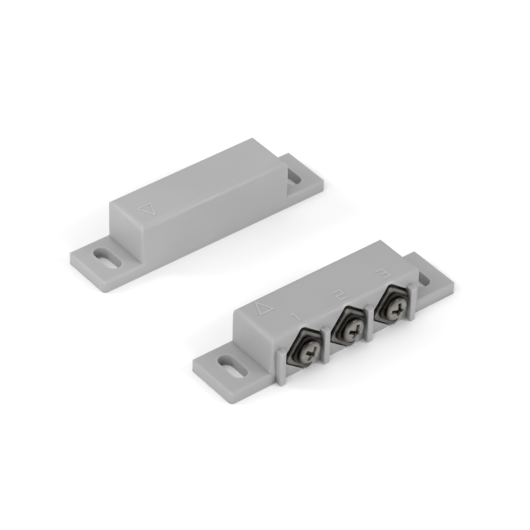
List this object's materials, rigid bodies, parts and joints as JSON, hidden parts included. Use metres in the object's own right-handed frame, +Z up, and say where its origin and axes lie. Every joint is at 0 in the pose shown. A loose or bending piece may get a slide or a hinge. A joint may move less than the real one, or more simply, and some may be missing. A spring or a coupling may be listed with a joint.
{
  "type": "surface door contact set",
  "caption": "Surface-mounted magnetic door contact: a slotted switch unit with screw terminals on its front wall and a matching magnet unit that slides towards it.",
  "frame": {"origin": "centre of the switch unit's flat mounting face", "axes": "+X along the units' length, +Y from the switch unit to the magnet unit, +Z up from the mounting face"},
  "size_m": [0.064, 0.0634, 0.0133],
  "materials": {
    "housing_plastic": "fine satin moulded",
    "cover_plastic": "plain moulded",
    "nickel_plate": "nickel plated, worn satin",
    "screw_steel": "nickel plated, polished by the driver",
    "tube_glass": "clear, faint green",
    "reed_metal": "bright nickel-iron",
    "resin": "cast, slightly uneven",
    "tinned_wire": "tinned",
    "magnet_metal": "ground"
  },
  "bodies": {
    "switch_unit": {"switch_housing": "housing_plastic", "switch_base_cover": "cover_plastic", "contact_plate_1": "nickel_plate", "contact_plate_2": "nickel_plate", "contact_plate_3": "nickel_plate", "terminal_nut_1": "screw_steel", "terminal_nut_2": "screw_steel", "terminal_nut_3": "screw_steel", "reed_glass": "tube_glass", "reed_nc_contact": "reed_metal", "reed_no_contact": "reed_metal", "reed_bed": "resin", "lead_wire_1": "tinned_wire", "lead_wire_2": "tinned_wire", "lead_wire_3": "tinned_wire"},
    "clamp_1": {"clamp_plate_1": "nickel_plate"},
    "screw_1": {"terminal_screw_1": "screw_steel"},
    "clamp_2": {"clamp_plate_2": "nickel_plate"},
    "screw_2": {"terminal_screw_2": "screw_steel"},
    "clamp_3": {"clamp_plate_3": "nickel_plate"},
    "screw_3": {"terminal_screw_3": "screw_steel"},
    "reed_blade": {"reed_common_blade": "reed_metal"},
    "magnet_unit": {"magnet_housing": "housing_plastic", "magnet_base_cover": "cover_plastic", "bar_magnet": "magnet_metal", "magnet_bed": "resin"}
  },
  "joints": [
    {"name": "door_slide", "type": "slide", "parent": "switch_unit", "child": "magnet_unit", "axis": [0, 1, 0], "range_m": [-0.029, 0]},
    {"name": "reed_swing", "type": "hinge", "parent": "switch_unit", "child": "reed_blade", "pos_m": [-0.0069, 0.0034, 0.0062], "axis": [0, 0, 1], "range_deg": [0, 1.8]},
    {"name": "clamp_slide_1", "type": "slide", "parent": "switch_unit", "child": "clamp_1", "axis": [0, -1, 0], "range_m": [0, 0.002]},
    {"name": "screw_turn_1", "type": "hinge", "parent": "clamp_1", "child": "screw_1", "pos_m": [-0.0117, -0.0076, 0.0058], "axis": [0, -1, 0], "range_deg": [0, 1440]},
    {"name": "clamp_slide_2", "type": "slide", "parent": "switch_unit", "child": "clamp_2", "axis": [0, -1, 0], "range_m": [0, 0.002]},
    {"name": "screw_turn_2", "type": "hinge", "parent": "clamp_2", "child": "screw_2", "pos_m": [0.0006, -0.0076, 0.0058], "axis": [0, -1, 0], "range_deg": [0, 1440]},
    {"name": "clamp_slide_3", "type": "slide", "parent": "switch_unit", "child": "clamp_3", "axis": [0, -1, 0], "range_m": [0, 0.002]},
    {"name": "screw_turn_3", "type": "hinge", "parent": "clamp_3", "child": "screw_3", "pos_m": [0.0129, -0.0076, 0.0058], "axis": [0, -1, 0], "range_deg": [0, 1440]}
  ],
  "couplings": [
    {"joint": "reed_swing", "follows": "door_slide", "rad_per_m": -1.0832},
    {"joint": "screw_turn_1", "follows": "clamp_slide_1", "rad_per_m": 12566},
    {"joint": "screw_turn_2", "follows": "clamp_slide_2", "rad_per_m": 12566},
    {"joint": "screw_turn_3", "follows": "clamp_slide_3", "rad_per_m": 12566}
  ]
}
